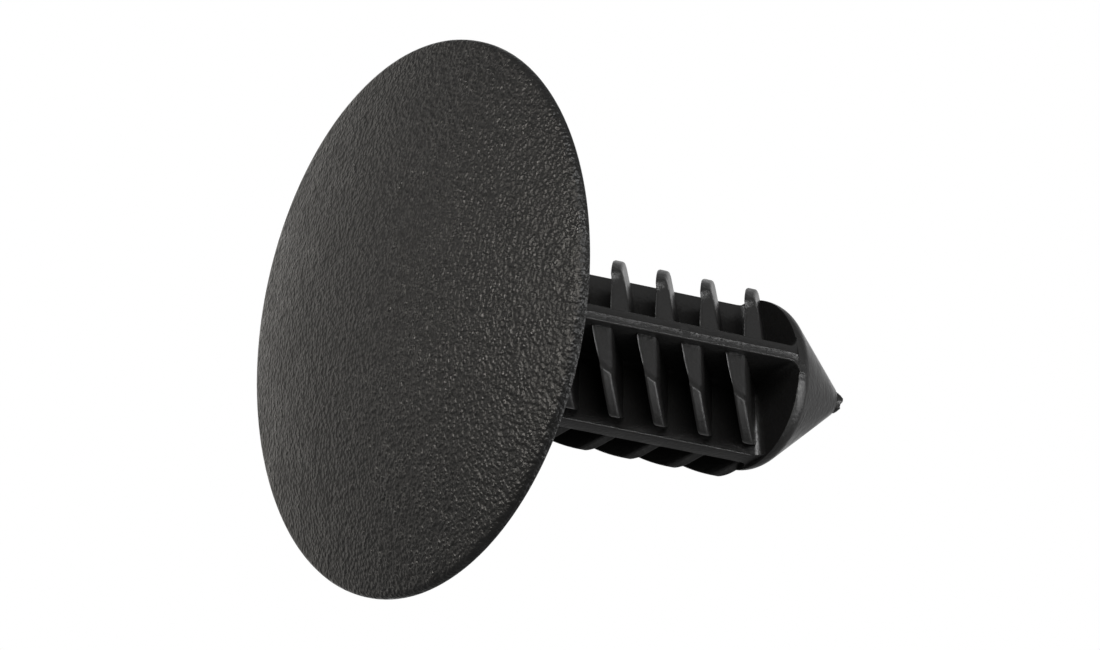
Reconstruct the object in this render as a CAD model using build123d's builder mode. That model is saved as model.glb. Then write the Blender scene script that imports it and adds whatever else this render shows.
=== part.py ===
from build123d import *
from math import atan, cos, degrees, radians, sin, sqrt, tan
import os

# Push rivet with a ribbed shank, one piece of black nylon. It stands on its head: the crown of
# the head is at the origin and +Z runs up the shank to the pointed nose. X lies in the mould's
# parting plane and the two mould halves open along Y. All sizes are in millimetres.

os.makedirs("parts", exist_ok=True)

# The hole in the panel, and how the shank fits it
panel_hole_diameter = 8.0
barb_interference = 0.29      # how far the barbs stand past the wall of the hole, on the radius
parting_clearance = 0.08      # gap between the parting rails and the wall of the hole
draw_clearance = 0.31         # gap between the draw rails and the wall of the hole
nose_clearance = 0.13         # gap between the widest part of the nose and the wall of the hole

# Head
head_diameter = 25.0
dome_rise = 1.9               # height of the rim's lower edge above the crown
rim_edge = 0.46               # height of the plain edge round the rim
rim_chamfer = 0.12
recess_diameter = 18.0        # hollow in the back of the head, inside the flat seating ring
head_wall = 1.3               # wall left at the middle of the hollow

# Shank: four webs that meet in a cross
shank_length = 18.25          # from the rim's lower edge to the back of the nose
parting_web = 0.75            # web that lies in the parting plane
draw_web = 0.88               # web that stands along the mould's opening direction
core_fillet = 0.3             # inside corners where the webs cross
head_fillet = 0.4             # foot of the webs, in the hollow of the head
nose_fillet = 0.5             # where the webs run into the back of the nose
rail_run_out = 0.6            # height over which the parting rails slope in to the nose
rail_end_step = 0.03          # how far they end inside the nose's edge

# Barbs: swept-back plates in the four quarters between the webs
barb_pitch = 2.46
barb_sweep = 43.0             # degrees that each plate leans back towards the head
first_barb = 5.1              # outer edge of the lowest barb above the rim's lower edge
barb_stagger = 1.1            # barbs of the neighbouring quarters stand this much higher
last_barb_gap = 1.5           # least height from a barb's outer edge to the back of the nose
bar_thickness = 0.86          # thickness of a barb where it meets the parting web
lobe_thickness = 0.48         # thickness of its outer lobe
mould_draft = 3.7             # degrees of draft on the part of the barb next to the parting web
bar_setback = 0.42            # how far the bar's outer face stays inside the parting rail
lobe_start = 2.15             # distance of the foot of the lobe's step from the parting plane
step_skew = 35.0              # degrees that the step slants across the outer face
step_lean = 60.0              # degrees that the step leans back from upright
lobe_corner = 1.84            # distance of the lobe's outer corner from the draw web's middle
lobe_shoulder = 0.83          # how far the lobe's root stays inside the draw rail
lobe_corner_rounding = 0.3

# Nose
nose_half_angle = 37.5        # degrees between the cone's side and the axis
nose_edge = 0.03              # height of the plain edge at the back
nose_tip_radius = 0.72        # the small flat that the cone ends in
nose_shoulder_rounding = 1.2  # between the plain edge and the cone
nose_tip_rounding = 0.12
gate_diameter = 1.06          # stub left where the moulding was torn off its runner
gate_height = 0.6
gate_slant = 12.0             # degrees of slope on the torn face

# Sizes that follow from those
hole_radius = panel_hole_diameter / 2
barb_radius = hole_radius + barb_interference
parting_reach = hole_radius - parting_clearance
draw_reach = hole_radius - draw_clearance
nose_radius = hole_radius - nose_clearance
flat_reach = parting_reach - bar_setback
head_radius = head_diameter / 2
seat_height = dome_rise + rim_edge
nose_height = dome_rise + shank_length
sweep_rise = tan(radians(barb_sweep))
sweep_cos = cos(radians(barb_sweep))
cone_height = nose_height + nose_edge + nose_shoulder_rounding * tan(radians(nose_half_angle) / 2)
tip_height = cone_height + (nose_radius - nose_tip_radius) / tan(radians(nose_half_angle))


# Head: a shallow dome with a thin plain edge. Its back is hollowed, which leaves a flat ring
# that bears on the panel.
with BuildPart() as head:
    with BuildSketch(Plane.XZ) as head_profile:
        with BuildLine():
            crown = TangentArc((0, 0), (head_radius, dome_rise), tangent=(1, 0))
            edge = Line(crown @ 1, (head_radius, seat_height))
            land = Line(edge @ 1, (recess_diameter / 2, seat_height))
            hollow = TangentArc((0, head_wall), land @ 1, tangent=(1, 0))
            Line(hollow @ 0, crown @ 0)
        make_face()
        chamfer(head_profile.vertices().group_by(Axis.X)[-1], rim_chamfer)
    revolve(axis=Axis.Z)


# Nose: a blunt cone with a flat back and a well-rounded shoulder, and the torn gate stub on its
# tip.
with BuildPart() as nose:
    with BuildSketch(Plane.XZ) as nose_profile:
        Polygon(
            (0, nose_height),
            (nose_radius, nose_height),
            (nose_radius, cone_height),
            (nose_tip_radius, tip_height),
            (0, tip_height),
            align=None,
        )
        shoulder = nose_profile.vertices().sort_by_distance((nose_radius, cone_height))[0]
        fillet(shoulder, nose_shoulder_rounding)
        tip = nose_profile.vertices().sort_by_distance((nose_tip_radius, tip_height))[0]
        fillet(tip, nose_tip_rounding)
    revolve(axis=Axis.Z)
    with BuildSketch(Plane.XY.offset(tip_height - nose_tip_rounding)):
        Circle(gate_diameter / 2)
    extrude(amount=nose_tip_rounding + gate_height)
    torn_face = Plane.XY.offset(tip_height + gate_height - gate_diameter / 2 * tan(radians(gate_slant)))
    split(bisect_by=torn_face.rotated((gate_slant, 0, 0)), keep=Keep.BOTTOM)


# Shank core: a cross of two webs, rounded where they cross. Each web flares out with a fillet
# at its foot in the hollow of the head and at the back of the nose. The web in the parting plane
# reaches further out, and its two rails slope in to the edge of the nose.
with BuildPart() as shank:
    with BuildSketch(Plane.XY.offset(head_wall / 2)) as cross:
        Rectangle(2 * parting_reach, parting_web)
        Rectangle(draw_web, 2 * draw_reach)
        inside_corners = cross.vertices().sort_by_distance((0, 0))[0:4]
        fillet(inside_corners, core_fillet)
    extrude(amount=nose_height - head_wall / 2)
    for side_view, thickness in ((Plane.YZ, parting_web), (Plane.XZ, draw_web)):
        with BuildSketch(side_view):
            with BuildLine():
                foot = Line((0, head_wall / 2), (thickness / 2 + head_fillet, head_wall / 2))
                sunk = Line(foot @ 1, (thickness / 2 + head_fillet, head_wall))
                lower = RadiusArc(sunk @ 1, (thickness / 2, head_wall + head_fillet), head_fillet)
                flank = Line(lower @ 1, (thickness / 2, nose_height - nose_fillet))
                upper = RadiusArc(flank @ 1, (thickness / 2 + nose_fillet, nose_height), nose_fillet)
                top = Line(upper @ 1, (0, nose_height))
                mirror(about=Plane.YZ)
            make_face()
        extrude(amount=parting_reach, both=True)
    # The draw web ends at its own circle, and a band leaves the parting web its longer reach.
    with BuildSketch(Plane.XY):
        Rectangle(2 * parting_reach, parting_reach)
        Circle(draw_reach)
    extrude(amount=nose_height, mode=Mode.INTERSECT)
    with BuildSketch(Plane.XZ):
        Polygon(
            (0, 0),
            (parting_reach, 0),
            (parting_reach, nose_height - rail_run_out),
            (nose_radius - rail_end_step, nose_height),
            (0, nose_height),
            align=None,
        )
    revolve(axis=Axis.Z, mode=Mode.INTERSECT)


# Barb of the quarter between +X and +Y, with its outer edge at height 0. It is a plate that
# leans back towards the head. The lobe away from the parting web keeps one thickness and swings
# round the barb circle; it starts at a slanted step.
with BuildPart() as barb:
    half_lobe = lobe_thickness / 2 / sweep_cos
    corner_y = sqrt(barb_radius**2 - lobe_corner**2)
    with BuildSketch(Plane.XZ):
        Polygon(
            (0, flat_reach * sweep_rise - half_lobe),
            (barb_radius, (flat_reach - barb_radius) * sweep_rise - half_lobe),
            (barb_radius, (flat_reach - barb_radius) * sweep_rise + half_lobe),
            (0, flat_reach * sweep_rise + half_lobe),
            align=None,
        )
    extrude(amount=-barb_radius)
    with BuildSketch(Plane.XY.offset(-barb_radius)):
        with BuildLine():
            root = Line((0, 0), (0, draw_reach - lobe_shoulder))
            end = Line(root @ 1, (lobe_corner, corner_y))
            swing = CenterArc((0, 0), barb_radius, 0, degrees(atan(corner_y / lobe_corner)))
            Line(swing @ 0, root @ 0)
        make_face()
    extrude(amount=3 * barb_radius, mode=Mode.INTERSECT)
    skew = radians(step_skew)
    lean = radians(step_lean)
    foot_reach = flat_reach - lobe_start * tan(radians(mould_draft))
    step_foot = (foot_reach, lobe_start, (flat_reach - foot_reach) * sweep_rise)
    step_normal = (-sin(lean), cos(skew) * cos(lean), -sin(skew) * cos(lean))
    split(bisect_by=Plane(origin=step_foot, z_dir=step_normal), keep=Keep.TOP)
    corner = barb.edges().sort_by_distance((lobe_corner, corner_y, (flat_reach - lobe_corner) * sweep_rise))[0]
    fillet(corner, lobe_corner_rounding)

    # The bar beside the parting web has the mould's draft on every side.
    half_bar = bar_thickness / 2 / sweep_cos
    with BuildSketch(Plane.XZ):
        Polygon(
            (0, flat_reach * sweep_rise - half_bar),
            (flat_reach, -half_bar),
            (flat_reach, half_bar),
            (0, flat_reach * sweep_rise + half_bar),
            align=None,
        )
    extrude(amount=-(lobe_start + lobe_thickness / 2), taper=mould_draft)


# The whole moulding. Opposite quarters carry their barbs at the same heights, and the two
# quarters between them are mirror images that stand a little higher.
barb_room = shank_length - last_barb_gap - first_barb
lower_rows = int(barb_room / barb_pitch) + 1
upper_rows = int((barb_room - barb_stagger) / barb_pitch) + 1
lower_heights = [dome_rise + first_barb + barb_pitch * row for row in range(lower_rows)]
upper_heights = [dome_rise + first_barb + barb_stagger + barb_pitch * row for row in range(upper_rows)]
lower_places = [Location((0, 0, height), (0, 0, turn)) for height in lower_heights for turn in (0, 180)]
upper_places = [Location((0, 0, height), (0, 0, turn)) for height in upper_heights for turn in (0, 180)]
mirrored_barb = mirror(barb.part, about=Plane.XZ)

with BuildPart() as barbs:
    with Locations(lower_places):
        add(barb.part)
    with Locations(upper_places):
        add(mirrored_barb)
    split(bisect_by=Plane.XY.offset(nose_height), keep=Keep.BOTTOM)

with BuildPart() as push_rivet:
    add(head.part)
    add(shank.part)
    add(nose.part)
    add(barbs.part)

push_rivet.part.label = "push_rivet"
export_step(push_rivet.part, "parts/push_rivet.step")
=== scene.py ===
import math

import bmesh
import bpy
from mathutils import Matrix, Vector, noise


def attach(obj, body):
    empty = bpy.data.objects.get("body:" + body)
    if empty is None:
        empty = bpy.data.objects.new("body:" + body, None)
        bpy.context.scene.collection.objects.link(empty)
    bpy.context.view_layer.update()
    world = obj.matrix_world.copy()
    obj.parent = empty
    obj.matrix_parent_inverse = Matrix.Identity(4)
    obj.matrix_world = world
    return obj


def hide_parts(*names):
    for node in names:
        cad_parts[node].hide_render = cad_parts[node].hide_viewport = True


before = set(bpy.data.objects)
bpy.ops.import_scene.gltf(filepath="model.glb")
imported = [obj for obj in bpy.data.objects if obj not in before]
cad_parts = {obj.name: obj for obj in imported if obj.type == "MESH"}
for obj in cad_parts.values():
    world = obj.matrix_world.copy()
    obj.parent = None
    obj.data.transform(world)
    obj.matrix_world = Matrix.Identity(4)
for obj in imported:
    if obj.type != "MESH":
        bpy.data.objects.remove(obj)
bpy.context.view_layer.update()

# ------------------------------------------------------------------------------------- view
# The rivet stands on its head. The camera looks up at it from below the level of the head,
# through the floor, from so far off that the barbs show almost in parallel.
mm = 0.001
view_back = Vector((0.7320, 0.3851, -0.5620)).normalized()     # from the rivet to the camera
view_up = Vector((0.3569, -0.9194, -0.1653))
view_right = view_up.cross(view_back).normalized()
view_up = view_back.cross(view_right)
view_target = Vector((3.319, 0.759, 6.743)) * mm
view_distance = 480 * mm
view_width = 48.45 * mm        # what the camera's full width takes in at the rivet

camera_data = bpy.data.cameras.new("camera")
camera_data.sensor_width = 36.0
camera_data.lens = camera_data.sensor_width * view_distance / view_width
camera_data.clip_start = 0.05
camera_data.clip_end = 20.0
camera = bpy.data.objects.new("camera", camera_data)
turned = Matrix((view_right, view_up, view_back)).transposed().to_4x4()
camera.matrix_world = Matrix.Translation(view_target + view_back * view_distance) @ turned
bpy.context.collection.objects.link(camera)
bpy.context.scene.camera = camera
bpy.context.scene.view_settings.view_transform = "Standard"

# ----------------------------------------------------------------------------------- studio
# A pale floor and a handful of square lamps, some broad and some small, in a plain studio. The
# floor lets the view from below pass and keeps the rivet's shadow for every view from above.
floor_size = 1.2
floor_grey = 0.82
floor_glow = 0.25              # added for the camera alone, so that the floor looks pale
white = (1.0, 1.0, 1.0, 1.0)
room_strength = 0.18
# Reflections see a white screen behind the rivet. These are the cosines, against the direction
# straight behind it, at the screen's edge and where it is fully white.
screen_edge = 0.86
screen_full = 0.99


def node_material(name):
    """A material with an empty node tree, and its tree."""
    material = bpy.data.materials.new(name)
    material.use_nodes = True
    material.node_tree.nodes.clear()
    return material, material.node_tree


def add_node(tree, kind, settings=None, **values):
    """Adds a node, sets its own settings and fills or links its sockets by name or _number."""
    node = tree.nodes.new(kind)
    for key, value in (settings or {}).items():
        setattr(node, key, value)
    for key, value in values.items():
        socket = node.inputs[int(key[1:]) if key[0] == "_" else key.replace("_", " ")]
        if isinstance(value, bpy.types.NodeSocket):
            tree.links.new(value, socket)
        else:
            socket.default_value = value
    return node


half = floor_size / 2
floor_corners = [(-half, -half, 0), (half, -half, 0), (half, half, 0), (-half, half, 0)]
floor_mesh = bpy.data.meshes.new("floor")
floor_mesh.from_pydata(floor_corners, [], [(0, 1, 2, 3)])
floor = bpy.data.objects.new("floor", floor_mesh)
bpy.context.collection.objects.link(floor)
floor.visible_diffuse = False
floor.visible_glossy = False
floor.visible_transmission = False
floor.visible_shadow = False

floor_material, tree = node_material("pale_floor")
rays = add_node(tree, "ShaderNodeLightPath").outputs
side = add_node(tree, "ShaderNodeNewGeometry").outputs
from_below = add_node(
    tree,
    "ShaderNodeMath",
    {"operation": "MULTIPLY"},
    _0=rays["Is Camera Ray"],
    _1=side["Backfacing"],
)
seen_glow = add_node(
    tree,
    "ShaderNodeMath",
    {"operation": "MULTIPLY"},
    _0=rays["Is Camera Ray"],
    _1=floor_glow,
)
paint = add_node(tree, "ShaderNodeBsdfDiffuse", Color=(floor_grey, floor_grey, floor_grey, 1.0))
glow = add_node(tree, "ShaderNodeEmission", Color=white, Strength=seen_glow.outputs["Value"])
lit = add_node(
    tree,
    "ShaderNodeAddShader",
    _0=paint.outputs["BSDF"],
    _1=glow.outputs["Emission"],
)
clear = add_node(tree, "ShaderNodeBsdfTransparent")
choose = add_node(
    tree,
    "ShaderNodeMixShader",
    Fac=from_below.outputs["Value"],
    _1=lit.outputs["Shader"],
    _2=clear.outputs["BSDF"],
)
add_node(tree, "ShaderNodeOutputMaterial", Surface=choose.outputs["Shader"])
floor_mesh.materials.append(floor_material)

# The camera sees white all round, reflections see it behind the rivet, and the rest of the world
# is a dim room.
world = bpy.data.worlds.new("studio")
bpy.context.scene.world = world
world.use_nodes = True
tree = world.node_tree
tree.nodes.clear()
rays = add_node(tree, "ShaderNodeLightPath").outputs
reflected = add_node(
    tree,
    "ShaderNodeMath",
    {"operation": "MAXIMUM"},
    _0=rays["Is Glossy Ray"],
    _1=rays["Is Transmission Ray"],
)
behind = add_node(
    tree,
    "ShaderNodeVectorMath",
    {"operation": "DOT_PRODUCT"},
    _0=add_node(tree, "ShaderNodeTexCoord").outputs["Generated"],
    _1=-view_back,
)
reach = add_node(
    tree,
    "ShaderNodeMapRange",
    {"interpolation_type": "SMOOTHSTEP"},
    Value=behind.outputs["Value"],
    From_Min=screen_edge,
    From_Max=screen_full,
    To_Min=room_strength,
    To_Max=1.0,
)
room = add_node(tree, "ShaderNodeBackground", Color=white, Strength=room_strength)
screen = add_node(tree, "ShaderNodeBackground", Color=white, Strength=reach.outputs["Result"])
backdrop = add_node(tree, "ShaderNodeBackground", Color=white, Strength=1.0)
mirrored = add_node(
    tree,
    "ShaderNodeMixShader",
    Fac=reflected.outputs["Value"],
    _1=room.outputs["Background"],
    _2=screen.outputs["Background"],
)
seen = add_node(
    tree,
    "ShaderNodeMixShader",
    Fac=rays["Is Camera Ray"],
    _1=mirrored.outputs["Shader"],
    _2=backdrop.outputs["Background"],
)
add_node(tree, "ShaderNodeOutputWorld", Surface=seen.outputs["Shader"])

# The key lamp brings what faces the camera to a plain level. The two lamps on the left light the
# dome, and those on the right the rim, rails, barbs and nose. Each has its direction as the camera
# sees it (right, up, towards the camera), its side in metres, its power in watts and its colour.
lamp_distance = 0.5
neutral_light = (1.0, 1.0, 1.0)
warm_light = (1.0, 0.95, 0.88)
lamps = [
    ("key_lamp", (0.10, 0.55, 0.70), 0.25, 1.70, neutral_light),
    ("left_lamp", (-0.78, 0.32, 0.50), 0.12, 1.25, warm_light),
    ("back_left_lamp", (-0.60, 0.02, -0.80), 0.45, 0.33, warm_light),
    ("back_right_lamp", (0.50, 0.10, -0.85), 0.30, 0.04, neutral_light),
    ("top_lamp", (0.96, -0.22, -0.10), 0.25, 0.55, neutral_light),
    ("right_lamp", (0.85, 0.50, 0.05), 0.30, 0.07, neutral_light),
    ("low_right_lamp", (0.74, -0.63, 0.25), 0.30, 0.16, neutral_light),
    ("step_lamp", (0.985, -0.04, 0.17), 0.10, 0.45, neutral_light),
]
for name, (right, up, back), size, power, colour in lamps:
    direction = (view_right * right + view_up * up + view_back * back).normalized()
    facing = direction.to_track_quat("Z", "Y").to_matrix().to_4x4()
    lamp_data = bpy.data.lights.new(name, "AREA")
    lamp_data.shape = "SQUARE"
    lamp_data.size = size
    lamp_data.energy = power
    lamp_data.color = colour
    lamp = bpy.data.objects.new(name, lamp_data)
    lamp.matrix_world = Matrix.Translation(view_target + direction * lamp_distance) @ facing
    bpy.context.collection.objects.link(lamp)

# ------------------------------------------------------------------------------------- head
# The head is a wide shallow dome, hollowed at the back, which leaves a flat ring that bears on
# the panel. The dome's face and the rim have the grain that was etched into the mould; the back
# is as smooth as the steel left it. Sizes are in millimetres from here on.
head_radius = 12.5
dome_rise = 1.9
rim_edge = 0.46
rim_rounding = 0.32
seat_rounding = 0.12
recess_radius = 9.0
recess_rounding = 0.15
head_wall = 1.3
dome_rings = 64
hollow_rings = 24
head_segments = 256
rim_rings = 2                  # rings inside the dome's edge that give way to the rim's rounding
corner_steps = 4
on_axis = 1e-6                 # a point nearer to the axis than this is a pole


def rounded(corners, steps=corner_steps):
    """An outline of (across, up, radius) corners, with an arc of that radius on each corner."""
    points = []
    for i, (across, up, radius) in enumerate(corners):
        corner = Vector((across, up))
        if radius == 0 or i in (0, len(corners) - 1):
            points.append(corner)
            continue
        back = (Vector(corners[i - 1][:2]) - corner).normalized()
        ahead = (Vector(corners[i + 1][:2]) - corner).normalized()
        opening = back.angle(ahead)
        centre = corner + (back + ahead).normalized() * radius / math.sin(opening / 2)
        start = corner + back * radius / math.tan(opening / 2) - centre
        turn = start.angle_signed(corner + ahead * radius / math.tan(opening / 2) - centre)
        for step in range(steps + 1):
            points.append(centre + Matrix.Rotation(-turn * step / steps, 2) @ start)
    return points


def skin(name, rings):
    """A closed mesh over rings of points, one after another. A ring of one point is a pole."""
    vertices = [point for ring in rings for point in ring]
    starts = [0]
    for ring in rings:
        starts.append(starts[-1] + len(ring))
    faces = []
    for i in range(len(rings) - 1):
        low, high = starts[i], starts[i + 1]
        around = max(len(rings[i]), len(rings[i + 1]))
        for k in range(around):
            following = (k + 1) % around
            if len(rings[i]) == 1:
                faces.append((low, high + following, high + k))
            elif len(rings[i + 1]) == 1:
                faces.append((low + k, low + following, high))
            else:
                faces.append((low + k, low + following, high + following, high + k))
    if len(rings[0]) > 1:
        faces.append(tuple(range(starts[1]))[::-1])
    if len(rings[-1]) > 1:
        faces.append(tuple(range(starts[-2], starts[-1])))
    mesh = bpy.data.meshes.new(name)
    mesh.from_pydata(vertices, [], faces)
    shape = bmesh.new()
    shape.from_mesh(mesh)
    bmesh.ops.recalc_face_normals(shape, faces=shape.faces)
    shape.to_mesh(mesh)
    shape.free()
    made = bpy.data.objects.new(name, mesh)
    bpy.context.collection.objects.link(made)
    return made


def turned_shape(name, outline, segments):
    """Turns an outline that starts and ends on the axis round Z."""
    rings = []
    for point in outline:
        if abs(point.x) < on_axis:
            rings.append([Vector((0, 0, point.y))])
            continue
        ring = []
        for k in range(segments):
            angle = math.tau * k / segments
            ring.append(Vector((point.x * math.cos(angle), point.x * math.sin(angle), point.y)))
        rings.append(ring)
    return skin(name, rings)


def bowl(radius, rise, steps, floor_height):
    """Points up a shallow bowl from its lowest point, where it is level, to its rim."""
    curve = (radius**2 + rise**2) / (2 * rise)
    points = []
    for step in range(steps + 1):
        angle = math.asin(radius / curve) * step / steps
        points.append((curve * math.sin(angle), floor_height + curve * (1 - math.cos(angle)), 0.0))
    return points


seat_height = dome_rise + rim_edge
dome = bowl(head_radius, dome_rise, dome_rings, 0.0)
hollow = bowl(recess_radius, seat_height - head_wall, hollow_rings, head_wall)
back_of_head = [
    (head_radius, dome_rise, rim_rounding),
    (head_radius, seat_height, seat_rounding),
    (recess_radius, seat_height, recess_rounding),
]
head_outline = dome[: -1 - rim_rings] + back_of_head + hollow[:-1][::-1]
head = turned_shape("head", rounded(head_outline), head_segments)

# ------------------------------------------------------------------------------------- webs
# The shank is a cross of two webs from the hollow of the head to the back of the nose, moulded
# with the head. The parting web's edges carry the fine flash line where the mould halves met.
parting_reach = 3.92
draw_reach = 3.69
parting_web = 0.75
draw_web = 0.88
core_fillet = 0.30
rail_rounding = 0.07
head_fillet = 0.40
nose_fillet = 0.50
nose_height = 20.15
nose_back_radius = 3.84
rail_run_out = 0.60
web_step = 0.20                # height of one ring of the plain stretch
web_overlap = 0.30             # how far the webs reach into the head and the nose
flare_steps = 6
flash_height = 0.022
flash_half_width = 0.030
flash_unevenness = 0.5         # share of the flash line's height that comes and goes
flash_waves = 0.9              # how fast it does so, per millimetre
flash_seed = 3.1


def web_section(height):
    """The cross at one height, as points round it. Both webs flare at the head and the nose."""
    into_head = max(0.0, head_wall + head_fillet - height)
    into_nose = max(0.0, height - nose_height + nose_fillet)
    flare = head_fillet - math.sqrt(max(0.0, head_fillet**2 - min(into_head, head_fillet) ** 2))
    flare += nose_fillet - math.sqrt(max(0.0, nose_fillet**2 - min(into_nose, nose_fillet) ** 2))
    parting = parting_web / 2 + flare
    draw = draw_web / 2 + flare
    wobble = 1.0 + flash_unevenness * noise.noise(Vector((height * flash_waves, flash_seed, 0.0)))
    slope = (parting_reach - nose_back_radius) / rail_run_out
    reach = min(parting_reach, nose_back_radius + (nose_height - height) * slope)
    ridge = reach + flash_height * wobble
    quarter = [
        (reach, flash_half_width, 0.0),
        (reach, parting, rail_rounding),
        (draw, parting, core_fillet),
        (draw, draw_reach, rail_rounding),
        (0.0, draw_reach, 0.0),
    ]
    first = rounded(quarter)
    second = [Vector((-point.x, point.y)) for point in reversed(first[:-1])]
    upper = [Vector((ridge, 0.0))] + first + second
    lower = [Vector((-point.x, -point.y)) for point in upper]
    return [Vector((point.x, point.y, height)) for point in upper + lower]


heights = {head_wall - web_overlap, nose_height + web_overlap}
for step in range(flare_steps + 1):
    flare_share = 1 - math.cos(math.pi / 2 * step / flare_steps)
    heights.add(head_wall + head_fillet * flare_share)
    heights.add(nose_height - nose_fillet * flare_share)
level = head_wall + head_fillet + web_step
while level < nose_height - nose_fillet:
    heights.add(level)
    level += web_step
webs = skin("webs", [web_section(height) for height in sorted(heights)])

# ------------------------------------------------------------------------------------- nose
# The nose is a blunt cone that finds the hole, moulded with the shank. The gate was on its tip,
# and the stub of it that was left when the runner was torn off is rough.
nose_radius = 3.87
nose_edge = 0.03
nose_half_angle = math.radians(37.5)
nose_tip_radius = 0.72
nose_shoulder_rounding = 1.20
nose_tip_rounding = 0.12
nose_segments = 192
nose_corner_steps = 10
gate_radius = 0.51
gate_height = 0.54
gate_segments = 48
# Rings up the stub, as shares of its radius and height. The torn end dishes in at the middle.
gate_profile = [
    (1.05, -0.3),
    (1.0, 0.0),
    (0.96, 0.45),
    (1.0, 0.8),
    (0.9, 0.97),
    (0.6, 1.0),
    (0.3, 0.96),
]
gate_middle = 0.80
# Around the stub its radius and height vary: the mean, the broad lumps and the fine roughness.
radius_mean, radius_lumps, radius_roughness = 0.94, 0.10, 0.05
tear_mean, tear_lumps, tear_roughness = 0.86, 0.22, 0.08
lump_waves = 1.3
lump_seed = 4.2
rough_waves = 4.0
rough_seed = 7.7

cone_height = nose_height + nose_edge + nose_shoulder_rounding * math.tan(nose_half_angle / 2)
tip_height = cone_height + (nose_radius - nose_tip_radius) / math.tan(nose_half_angle)
nose_outline = [
    (0.0, nose_height, 0.0),
    (nose_radius, nose_height, 0.0),
    (nose_radius, cone_height, nose_shoulder_rounding),
    (nose_tip_radius, tip_height, nose_tip_rounding),
    (0.0, tip_height, 0.0),
]
nose = turned_shape("nose", rounded(nose_outline, nose_corner_steps), nose_segments)

gate_rings = []
for reach, rise in gate_profile:
    ring = []
    for k in range(gate_segments):
        angle = math.tau * k / gate_segments
        around = Vector((math.cos(angle), math.sin(angle), 0.0))
        lumps = noise.noise(around * lump_waves + Vector((lump_seed, 0.0, rise)))
        rough = noise.noise(around * rough_waves + Vector((0.0, rough_seed, rise * 2)))
        wander = radius_mean + radius_lumps * lumps + radius_roughness * rough
        tear = tear_mean + tear_lumps * lumps + tear_roughness * rough
        height = tip_height + gate_height * rise * tear
        ring.append(around * (gate_radius * reach * wander) + Vector((0.0, 0.0, height)))
    gate_rings.append(ring)
gate_rings.append([Vector((0.0, 0.0, tip_height + gate_height * gate_middle))])
gate = skin("gate", gate_rings)

# ------------------------------------------------------------------------------------ barbs
# The barbs are swept-back plates in the four quarters between the webs. Each is a drafted bar
# beside the parting web, which steps up over a slanted ramp to a thin springy lobe.
barb_radius = 4.29
flat_reach = 3.50
barb_sweep = math.radians(43.0)
bar_thickness = 0.86
lobe_thickness = 0.47
mould_draft = math.radians(3.7)
lobe_start = 2.15
step_skew = math.radians(35.0)
step_lean = math.radians(60.0)
lobe_corner = 1.84
lobe_shoulder = 0.83
lobe_corner_rounding = 0.30
barb_rounding = 0.13
barb_root = 0.10               # where a barb starts from the axis, well inside the webs
step_blend = 0.35              # over this far past the step a barb thins from bar to lobe
ramp_rounding = 0.14           # how much the ramp is eased in at its foot and off at its top
plate_steps = 8                # points across each side of the plate
rim_steps = 6                  # and along its outer face
rounding_shares = (0.0, 0.3, 1.0)
grazing = 0.05                 # a direction that meets the ramp more narrowly than this misses it
far_out = 2 * barb_radius      # and this stands for its reach
least_slope = 1e-3             # keeps the reach to the lobe's end finite
half_lobe = lobe_thickness / 2 / math.cos(barb_sweep)
half_bar = bar_thickness / 2 / math.cos(barb_sweep)
narrowing = math.tan(mould_draft) / math.cos(barb_sweep)
ramp_slope = math.cos(step_skew) / math.tan(step_lean)
corner_y = math.sqrt(barb_radius**2 - lobe_corner**2)
end_start = Vector((0.0, draw_reach - lobe_shoulder))
end_normal = Vector((end_start.y - corner_y, lobe_corner)).normalized()


def ramp_foot(level):
    """Where the ramp starts on the bar's face, at this level across the plate's thickness."""
    y = lobe_start + level * math.tan(step_skew)
    return Vector((flat_reach - y * math.tan(mould_draft), y))


def eased_max(first, second, ease):
    """The larger of two values, with the change from one to the other eased."""
    return max(first, second) + max(ease - abs(first - second), 0.0) ** 2 / (4 * ease)


def barb_reach(angle, level):
    """Distance from the axis to the barb's edge, at this angle from the parting web."""
    cosine, sine = math.cos(angle), math.sin(angle)
    bar = flat_reach / (cosine + sine * math.tan(mould_draft))
    foot = ramp_foot(level)
    ramp = far_out
    if cosine - ramp_slope * sine > grazing:
        ramp = (foot.x - ramp_slope * foot.y) / (cosine - ramp_slope * sine)
    outer = -eased_max(-eased_max(bar, ramp, ramp_rounding), -barb_radius, ramp_rounding)
    end_slope = end_normal.x * cosine + end_normal.y * sine
    end = end_normal.dot(end_start) / max(end_slope, least_slope)
    return -eased_max(-outer, -end, lobe_corner_rounding)


def side_level(y, side):
    """Height of the barb's head side (-1) or nose side (1) over the plate's middle, at this y."""
    thick = half_bar - y * narrowing - half_lobe
    if side > 0:
        past_step = min(max((y - lobe_start) / step_blend, 0.0), 1.0)
        return half_lobe + max(0.0, thick) * (1 - past_step**2 * (3 - 2 * past_step))
    return -half_lobe - (half_bar - half_lobe) * max(0.0, 1 - (y / lobe_start) ** 2)


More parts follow.
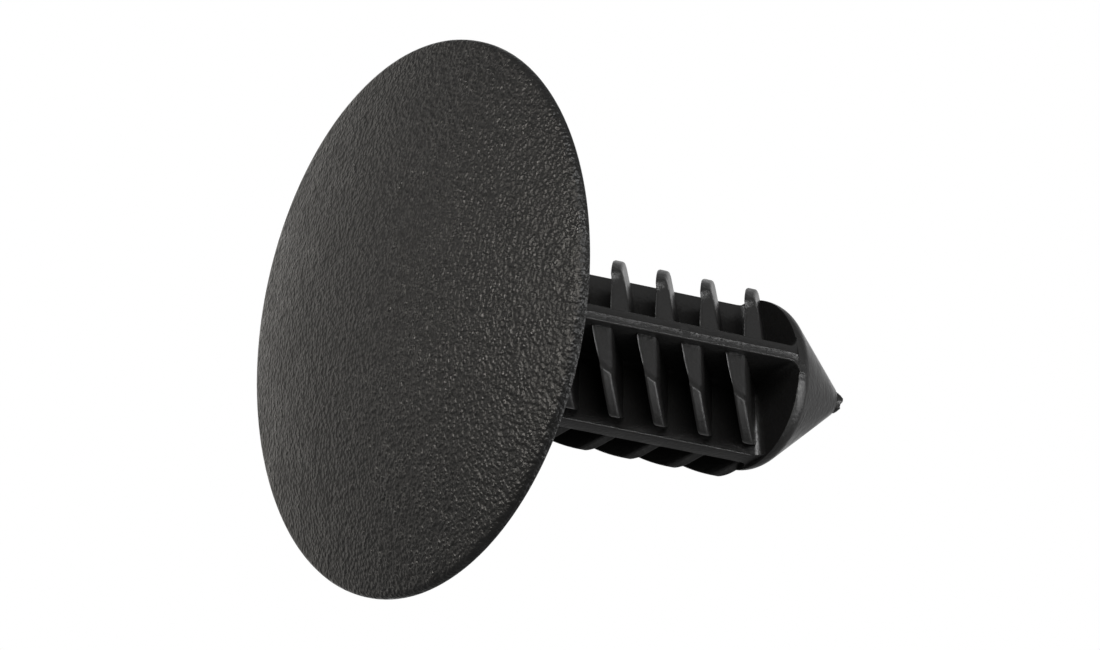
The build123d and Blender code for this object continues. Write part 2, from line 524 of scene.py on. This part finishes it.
def barb_section(angle):
    """The barb cut by an upright plane through the axis, as points round the cut."""
    cosine, sine = math.cos(angle), math.sin(angle)
    tip = barb_reach(angle, 0.0) * sine
    low, high = side_level(tip, -1), side_level(tip, 1)
    outline = []
    for level, side in ((low, -1), (high, 1)):
        limit = barb_reach(angle, level) - barb_rounding
        steps = [step / plate_steps for step in range(plate_steps)]
        reaches = [barb_root + (limit - barb_root) * step for step in steps]
        outline.append([(reach, side_level(reach * sine, side)) for reach in reaches])
    lower_edge = []
    for share in rounding_shares:
        inset = barb_rounding * (1 - math.sqrt(1 - (1 - share) ** 2))
        lower_edge.append((low + barb_rounding * share, inset))
    plain = high - low - 2 * barb_rounding
    middle = [(low + barb_rounding + plain * step / rim_steps, 0.0) for step in range(1, rim_steps)]
    upper_edge = [(high - (level - low), inset) for level, inset in reversed(lower_edge)]
    edge = lower_edge + middle + upper_edge
    rim = [(barb_reach(angle, level) - inset, level) for level, inset in edge]
    cut = outline[0] + rim + outline[1][::-1]
    rise = math.tan(barb_sweep)
    points = []
    for reach, level in cut:
        height = (flat_reach - reach * cosine) * rise + level
        points.append(Vector((reach * cosine, reach * sine, height)))
    return points


def spaced(first, last, spacing):
    """The angles from first to last, given in degrees."""
    steps = round((last - first) / spacing)
    return {math.radians(first + spacing * step) for step in range(steps + 1)}


# The cuts lie closer over the ramp and round the lobe's corner.
angles = spaced(0, 90, 2.5) | spaced(28, 46, 0.5) | spaced(62, 69, 1)
barb = skin("barbs", [barb_section(angle) for angle in sorted(angles)])

barb_pitch = 2.46
barb_rows = 5
first_barb = 5.1               # outer edge of the lowest barb above the rim's lower edge
barb_stagger = 1.1
block_side = 12.0              # the block that trims off what reaches above the nose's back
block_depth = 6.0
face_slope = -0.945            # faces of the dome look down at least this steeply
rim_band = 0.35                # width of the rim, inwards from the head's edge

# One barb becomes a column, the mirrored column of the next quarter stands a stagger higher, and
# the pair is turned half round. All of it joins the head, webs, nose and gate.
pattern = bpy.data.node_groups.new("barb_pattern", "GeometryNodeTree")
pattern.is_modifier = True
interface = pattern.interface
interface.new_socket("Geometry", in_out="INPUT", socket_type="NodeSocketGeometry")
for name, kind in (
    ("Rows", "NodeSocketInt"),
    ("Pitch", "NodeSocketFloat"),
    ("First Height", "NodeSocketFloat"),
    ("Stagger", "NodeSocketFloat"),
    ("Nose Height", "NodeSocketFloat"),
    ("Head", "NodeSocketObject"),
    ("Webs", "NodeSocketObject"),
    ("Nose", "NodeSocketObject"),
    ("Gate", "NodeSocketObject"),
    ("Smooth Nylon", "NodeSocketMaterial"),
    ("Grained Nylon", "NodeSocketMaterial"),
):
    interface.new_socket(name, in_out="INPUT", socket_type=kind)
interface.new_socket("Geometry", in_out="OUTPUT", socket_type="NodeSocketGeometry")

given = add_node(pattern, "NodeGroupInput").outputs
stagger = add_node(pattern, "ShaderNodeCombineXYZ", Z=given["Stagger"])
start = add_node(pattern, "ShaderNodeCombineXYZ", Z=given["First Height"])
pitch = add_node(pattern, "ShaderNodeCombineXYZ", Z=given["Pitch"])
column = add_node(
    pattern,
    "GeometryNodeMeshLine",
    Count=given["Rows"],
    Start_Location=start.outputs["Vector"],
    Offset=pitch.outputs["Vector"],
)
rows = add_node(
    pattern,
    "GeometryNodeInstanceOnPoints",
    Points=column.outputs["Mesh"],
    Instance=given["Geometry"],
)
one_side = add_node(pattern, "GeometryNodeRealizeInstances", Geometry=rows.outputs["Instances"])
mirrored = add_node(
    pattern,
    "GeometryNodeTransform",
    Geometry=one_side.outputs["Geometry"],
    Translation=stagger.outputs["Vector"],
    Scale=(1.0, -1.0, 1.0),
)
outward = add_node(pattern, "GeometryNodeFlipFaces", Mesh=mirrored.outputs["Geometry"])
pair = add_node(pattern, "GeometryNodeJoinGeometry")
pattern.links.new(one_side.outputs["Geometry"], pair.inputs["Geometry"])
pattern.links.new(outward.outputs["Mesh"], pair.inputs["Geometry"])
opposite = add_node(
    pattern,
    "GeometryNodeTransform",
    Geometry=pair.outputs["Geometry"],
    Rotation=(0.0, 0.0, math.pi),
)
all_barbs = add_node(pattern, "GeometryNodeJoinGeometry")
pattern.links.new(pair.outputs["Geometry"], all_barbs.inputs["Geometry"])
pattern.links.new(opposite.outputs["Geometry"], all_barbs.inputs["Geometry"])
block = add_node(pattern, "GeometryNodeMeshCube", Size=(block_side, block_side, block_depth))
block_height = add_node(
    pattern,
    "ShaderNodeMath",
    {"operation": "ADD"},
    _0=given["Nose Height"],
    _1=block_depth / 2,
)
block_place = add_node(pattern, "ShaderNodeCombineXYZ", Z=block_height.outputs["Value"])
above_nose = add_node(
    pattern,
    "GeometryNodeTransform",
    Geometry=block.outputs["Mesh"],
    Translation=block_place.outputs["Vector"],
)
trimmed = add_node(
    pattern,
    "GeometryNodeMeshBoolean",
    {"operation": "DIFFERENCE", "solver": "MANIFOLD"},
    Mesh_1=all_barbs.outputs["Geometry"],
    Mesh_2=above_nose.outputs["Geometry"],
)
moulding = add_node(
    pattern,
    "GeometryNodeMeshBoolean",
    {"operation": "UNION", "solver": "MANIFOLD"},
)
pattern.links.new(trimmed.outputs["Mesh"], moulding.inputs["Mesh 2"])
for name in ("Head", "Webs", "Nose", "Gate"):
    region = add_node(pattern, "GeometryNodeObjectInfo", Object=given[name])
    pattern.links.new(region.outputs["Geometry"], moulding.inputs["Mesh 2"])
smooth_all = add_node(
    pattern,
    "GeometryNodeSetMaterial",
    Geometry=moulding.outputs["Mesh"],
    Material=given["Smooth Nylon"],
)
normal = add_node(pattern, "GeometryNodeInputNormal")
normal_parts = add_node(pattern, "ShaderNodeSeparateXYZ", Vector=normal.outputs["Normal"])
place = add_node(pattern, "GeometryNodeInputPosition")
place_parts = add_node(pattern, "ShaderNodeSeparateXYZ", Vector=place.outputs["Position"])
faces_down = add_node(
    pattern,
    "FunctionNodeCompare",
    {"operation": "LESS_THAN"},
    _0=normal_parts.outputs["Z"],
    _1=face_slope,
)
below_rim = add_node(
    pattern,
    "FunctionNodeCompare",
    {"operation": "LESS_THAN"},
    _0=place_parts.outputs["Z"],
    _1=dome_rise,
)
on_dome = add_node(
    pattern,
    "FunctionNodeBooleanMath",
    {"operation": "AND"},
    _0=faces_down.outputs["Result"],
    _1=below_rim.outputs["Result"],
)
place_flat = add_node(
    pattern,
    "ShaderNodeVectorMath",
    {"operation": "MULTIPLY"},
    _0=place.outputs["Position"],
    _1=(1.0, 1.0, 0.0),
)
from_axis = add_node(
    pattern,
    "ShaderNodeVectorMath",
    {"operation": "LENGTH"},
    _0=place_flat.outputs["Vector"],
)
on_rim = add_node(
    pattern,
    "FunctionNodeCompare",
    {"operation": "GREATER_THAN"},
    _0=from_axis.outputs["Value"],
    _1=head_radius - rim_band,
)
on_face = add_node(
    pattern,
    "FunctionNodeBooleanMath",
    {"operation": "OR"},
    _0=on_dome.outputs["Boolean"],
    _1=on_rim.outputs["Result"],
)
grained_dome = add_node(
    pattern,
    "GeometryNodeSetMaterial",
    Geometry=smooth_all.outputs["Geometry"],
    Selection=on_face.outputs["Boolean"],
    Material=given["Grained Nylon"],
)
add_node(pattern, "NodeGroupOutput", Geometry=grained_dome.outputs["Geometry"])

# ---------------------------------------------------------------------------------- moulding
# Head, webs, nose and barbs are one shot of black nylon. It has two finishes, the etched grain
# of the dome and the rim, and the plain steel finish of the rest. The grain's pits carry painted
# shade.
nylon_black = (0.0125, 0.0122, 0.0119, 1.0)
# painted shade: the near-black that the grain's pits are coloured with, in place of the shade that
# falls into them
pit_shade_black = (0.003, 0.003, 0.003, 1.0)
nylon_ior = 1.48
pebble_depth = -0.6            # how much the pebbles count against the finer noise
fine_scale = 0.45              # the finer noise's and the patches' scale, against the pebbles'
patch_scale = 0.12
patch_low, patch_high = 0.3, 0.7        # the noise's values at the glossiest and dullest patch
pit_floor, pit_brim = -0.10, 0.45       # the texture's heights at the floor and brim of a pit
sharp_angle = math.radians(40)

grain = bpy.data.node_groups.new("mould_texture", "ShaderNodeTree")
grain.interface.new_socket("Size", in_out="INPUT", socket_type="NodeSocketFloat")
grain.interface.new_socket("Height", in_out="OUTPUT", socket_type="NodeSocketFloat")
grain.interface.new_socket("Patches", in_out="OUTPUT", socket_type="NodeSocketFloat")
given = add_node(grain, "NodeGroupInput").outputs
spot = add_node(grain, "ShaderNodeTexCoord").outputs["Object"]
scale = add_node(grain, "ShaderNodeMath", {"operation": "DIVIDE"}, _0=1.0, _1=given["Size"])
pebbles = add_node(
    grain,
    "ShaderNodeTexVoronoi",
    {"feature": "SMOOTH_F1"},
    Vector=spot,
    Scale=scale.outputs["Value"],
    Smoothness=0.5,
    Randomness=1.0,
)
finer = add_node(
    grain,
    "ShaderNodeMath",
    {"operation": "MULTIPLY"},
    _0=scale.outputs["Value"],
    _1=fine_scale,
)
fine = add_node(
    grain,
    "ShaderNodeTexNoise",
    Vector=spot,
    Scale=finer.outputs["Value"],
    Detail=3.0,
    Roughness=0.7,
)
height = add_node(
    grain,
    "ShaderNodeMath",
    {"operation": "MULTIPLY_ADD"},
    _0=pebbles.outputs["Distance"],
    _1=pebble_depth,
    _2=fine.outputs["Fac"],
)
coarser = add_node(
    grain,
    "ShaderNodeMath",
    {"operation": "MULTIPLY"},
    _0=scale.outputs["Value"],
    _1=patch_scale,
)
patches = add_node(
    grain,
    "ShaderNodeTexNoise",
    Vector=spot,
    Scale=coarser.outputs["Value"],
    Detail=4.0,
    Roughness=0.6,
)
add_node(
    grain,
    "NodeGroupOutput",
    Height=height.outputs["Value"],
    Patches=patches.outputs["Fac"],
)


def nylon(name, grain_size, grain_depth, low_roughness, high_roughness, pit_roughness=None):
    """Black nylon with a mould texture of this size and depth, whose pits may be dull and carry
    painted shade.
    """
    material, tree = node_material(name)
    texture = add_node(tree, "ShaderNodeGroup", {"node_tree": grain}, Size=grain_size).outputs
    gloss = add_node(
        tree,
        "ShaderNodeMapRange",
        Value=texture["Patches"],
        From_Min=patch_low,
        From_Max=patch_high,
        To_Min=low_roughness,
        To_Max=high_roughness,
    )
    roughness = gloss.outputs["Result"]
    colour = nylon_black
    if pit_roughness is not None:
        pits = add_node(
            tree,
            "ShaderNodeMapRange",
            Value=texture["Height"],
            From_Min=pit_floor,
            From_Max=pit_brim,
            To_Min=pit_roughness,
            To_Max=0.0,
        )
        # Painted shade: the colour darkens towards the pit black as the texture sinks into a pit,
        # as if shade fell there
        pit_shade_mask = add_node(
            tree,
            "ShaderNodeMapRange",
            Value=texture["Height"],
            From_Min=pit_floor,
            From_Max=pit_brim,
        )
        pit_shading = add_node(
            tree,
            "ShaderNodeMix",
            {"data_type": "RGBA"},
            _0=pit_shade_mask.outputs["Result"],
            _6=pit_shade_black,
            _7=nylon_black,
        )
        finish = add_node(
            tree,
            "ShaderNodeMath",
            {"operation": "ADD"},
            _0=gloss.outputs["Result"],
            _1=pits.outputs["Result"],
        )
        roughness = finish.outputs["Value"]
        colour = pit_shading.outputs[2]
    bump = add_node(
        tree,
        "ShaderNodeBump",
        Strength=1.0,
        Distance=grain_depth,
        Height=texture["Height"],
    )
    plastic = add_node(
        tree,
        "ShaderNodeBsdfPrincipled",
        Base_Color=colour,
        Roughness=roughness,
        Normal=bump.outputs["Normal"],
        IOR=nylon_ior,
    )
    add_node(tree, "ShaderNodeOutputMaterial", Surface=plastic.outputs["BSDF"])
    return material


smooth_nylon = nylon(
    "smooth_nylon",
    grain_size=0.20 * mm,
    grain_depth=0.018 * mm,
    low_roughness=0.28,
    high_roughness=0.42,
)
grained_nylon = nylon(
    "grained_nylon",
    grain_size=0.19 * mm,
    grain_depth=0.11 * mm,
    low_roughness=0.22,
    high_roughness=0.36,
    pit_roughness=0.18,
)

modifier = barb.modifiers.new("barb_pattern", "NODES")
modifier.node_group = pattern
settings = {
    "Rows": barb_rows,
    "Pitch": barb_pitch,
    "First Height": dome_rise + first_barb,
    "Stagger": barb_stagger,
    "Nose Height": nose_height,
    "Head": head,
    "Webs": webs,
    "Nose": nose,
    "Gate": gate,
    "Smooth Nylon": smooth_nylon,
    "Grained Nylon": grained_nylon,
}
for item in interface.items_tree:
    if item.item_type == "SOCKET" and item.in_out == "INPUT" and item.name in settings:
        modifier[item.identifier] = settings[item.name]

evaluated = barb.evaluated_get(bpy.context.evaluated_depsgraph_get())
rivet_mesh = bpy.data.meshes.new_from_object(evaluated)
rivet_mesh.name = "rivet"
barb.modifiers.remove(modifier)
for region in (barb, head, webs, nose, gate):
    bpy.data.objects.remove(region)

rivet_mesh.transform(Matrix.Scale(mm, 4))
rivet_mesh.shade_smooth()
rivet_mesh.set_sharp_from_angle(angle=sharp_angle)
rivet = bpy.data.objects.new("rivet", rivet_mesh)
bpy.context.collection.objects.link(rivet)
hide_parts("push_rivet")
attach(rivet, "root")
